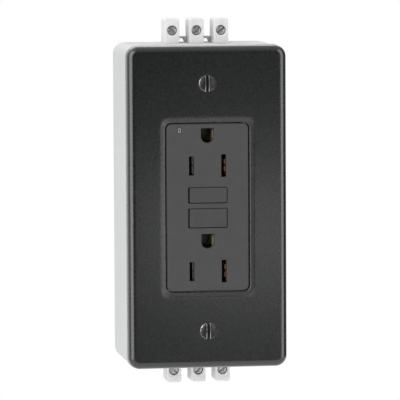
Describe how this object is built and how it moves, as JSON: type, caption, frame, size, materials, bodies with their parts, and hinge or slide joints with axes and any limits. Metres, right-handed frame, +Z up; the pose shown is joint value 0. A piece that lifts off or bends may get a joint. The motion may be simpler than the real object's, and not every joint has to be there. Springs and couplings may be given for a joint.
{
  "type": "gfci outlet",
  "caption": "Surface-mounted wall box with a ground-fault receptacle, rounded cover plate, test and reset buttons, and screw terminal strips through its ends.",
  "frame": {"origin": "centre of the box's back face, which lies on the wall", "axes": "+X to the right as seen from the front, +Y into the wall, +Z up; the outlet's face looks along -Y"},
  "size_m": [0.0626, 0.0468, 0.1448],
  "materials": {
    "charcoal_cover": "satin charcoal moulding with a fine texture",
    "grey_nylon": "matte dark grey nylon",
    "pale_grey_plastic": "matte pale grey moulding",
    "translucent_white": "milky, slightly translucent soft plastic",
    "dark_thermoset": "black thermoset",
    "clear_lens": "frosted light pipe",
    "brass": "stamped brass",
    "copper_alloy": "spring bronze",
    "zinc_steel": "zinc plated steel",
    "blackened_steel": "dark nickel plated steel with bright worn edges",
    "green_screw_steel": "green passivated steel",
    "board_green": "solder masked board",
    "wire_black": "black insulation",
    "wire_white": "white insulation",
    "wire_green": "green insulation"
  },
  "bodies": {
    "root": {"assembly_screw_1": "zinc_steel", "assembly_screw_2": "zinc_steel", "assembly_screw_3": "zinc_steel", "assembly_screw_4": "zinc_steel", "back_box": "pale_grey_plastic", "circuit_board": "board_green", "contact_housing": "dark_thermoset", "cover_plate": "charcoal_cover", "cover_screw_bottom": "blackened_steel", "cover_screw_top": "blackened_steel", "device_face": "grey_nylon", "device_screw_bottom": "zinc_steel", "device_screw_top": "zinc_steel", "ground_contact_lower": "brass", "ground_contact_upper": "brass", "ground_screw": "green_screw_steel", "ground_wire": "wire_green", "hot_contacts": "copper_alloy", "line_hot_screw": "brass", "line_hot_terminal": "brass", "line_hot_wire": "wire_black", "line_neutral_screw": "zinc_steel", "line_neutral_terminal": "brass", "line_neutral_wire": "wire_white", "load_hot_screw": "brass", "load_hot_terminal": "brass", "load_hot_wire": "wire_black", "load_neutral_screw": "zinc_steel", "load_neutral_terminal": "brass", "load_neutral_wire": "wire_white", "mounting_strap": "zinc_steel", "neutral_contacts": "copper_alloy", "rear_housing": "dark_thermoset", "reset_spring": "zinc_steel", "sensing_transformer": "dark_thermoset", "solenoid_coil": "copper_alloy", "status_lens": "clear_lens", "terminal_sleeve_bottom_centre": "brass", "terminal_sleeve_bottom_left": "brass", "terminal_sleeve_bottom_right": "brass", "terminal_sleeve_top_centre": "brass", "terminal_sleeve_top_left": "brass", "terminal_sleeve_top_right": "brass", "terminal_strip_bottom": "translucent_white", "terminal_strip_top": "translucent_white", "test_leaf": "copper_alloy"},
    "test_button": {"test_button": "grey_nylon"},
    "reset_button": {"reset_button": "grey_nylon", "reset_stem": "zinc_steel"},
    "latch_block": {"latch_block": "dark_thermoset"},
    "latch_plate": {"latch_plate": "zinc_steel"},
    "contact_arm_hot": {"contact_arm_hot": "copper_alloy"},
    "contact_arm_neutral": {"contact_arm_neutral": "copper_alloy"},
    "solenoid_plunger": {"solenoid_plunger": "zinc_steel"},
    "clamp_screw_top_left": {"clamp_screw_top_left": "zinc_steel"},
    "clamp_screw_top_centre": {"clamp_screw_top_centre": "zinc_steel"},
    "clamp_screw_top_right": {"clamp_screw_top_right": "zinc_steel"},
    "clamp_screw_bottom_left": {"clamp_screw_bottom_left": "zinc_steel"},
    "clamp_screw_bottom_centre": {"clamp_screw_bottom_centre": "zinc_steel"},
    "clamp_screw_bottom_right": {"clamp_screw_bottom_right": "zinc_steel"}
  },
  "joints": [
    {"name": "test_button_press", "type": "slide", "parent": "root", "child": "test_button", "axis": [0, 1, 0], "range_m": [0, 0.0012], "stiffness_N_per_m": 400},
    {"name": "reset_button_press", "type": "slide", "parent": "root", "child": "reset_button", "axis": [0, 1, 0], "range_m": [0, 0.0016], "stiffness_N_per_m": 900, "deforming": ["reset_spring"]},
    {"name": "latch_block_slide", "type": "slide", "parent": "root", "child": "latch_block", "axis": [0, 1, 0], "range_m": [0, 0.0016]},
    {"name": "hot_arm_swing", "type": "hinge", "parent": "root", "child": "contact_arm_hot", "pos_m": [0, -0.0265, 0.017], "axis": [1, 0, 0], "range_deg": [0, 4.4]},
    {"name": "neutral_arm_swing", "type": "hinge", "parent": "root", "child": "contact_arm_neutral", "pos_m": [0, -0.0265, 0.017], "axis": [1, 0, 0], "range_deg": [0, 4.4]},
    {"name": "trip_plunger_stroke", "type": "slide", "parent": "root", "child": "solenoid_plunger", "axis": [0, 0, 1], "range_m": [0, 0.002], "stiffness_N_per_m": 40},
    {"name": "latch_plate_slide", "type": "slide", "parent": "latch_block", "child": "latch_plate", "axis": [0, 0, 1], "range_m": [0, 0.002]},
    {"name": "clamp_screw_top_left_turn", "type": "hinge", "parent": "root", "child": "clamp_screw_top_left", "pos_m": [-0.00975, -0.0176, 0.0681], "axis": [0, 1, 0], "continuous": true},
    {"name": "clamp_screw_top_centre_turn", "type": "hinge", "parent": "root", "child": "clamp_screw_top_centre", "pos_m": [0, -0.0176, 0.0681], "axis": [0, 1, 0], "continuous": true},
    {"name": "clamp_screw_top_right_turn", "type": "hinge", "parent": "root", "child": "clamp_screw_top_right", "pos_m": [0.00975, -0.0176, 0.0681], "axis": [0, 1, 0], "continuous": true},
    {"name": "clamp_screw_bottom_left_turn", "type": "hinge", "parent": "root", "child": "clamp_screw_bottom_left", "pos_m": [-0.00975, -0.0176, -0.0671], "axis": [0, 1, 0], "continuous": true},
    {"name": "clamp_screw_bottom_centre_turn", "type": "hinge", "parent": "root", "child": "clamp_screw_bottom_centre", "pos_m": [0, -0.0176, -0.0671], "axis": [0, 1, 0], "continuous": true},
    {"name": "clamp_screw_bottom_right_turn", "type": "hinge", "parent": "root", "child": "clamp_screw_bottom_right", "pos_m": [0.00975, -0.0176, -0.0671], "axis": [0, 1, 0], "continuous": true}
  ],
  "couplings": [
    {"joint": "latch_block_slide", "follows": "reset_button_press", "ratio": 1},
    {"joint": "hot_arm_swing", "follows": "reset_button_press", "rad_per_m": 47.2},
    {"joint": "neutral_arm_swing", "follows": "reset_button_press", "rad_per_m": 47.2},
    {"joint": "latch_plate_slide", "follows": "trip_plunger_stroke", "ratio": 1}
  ]
}
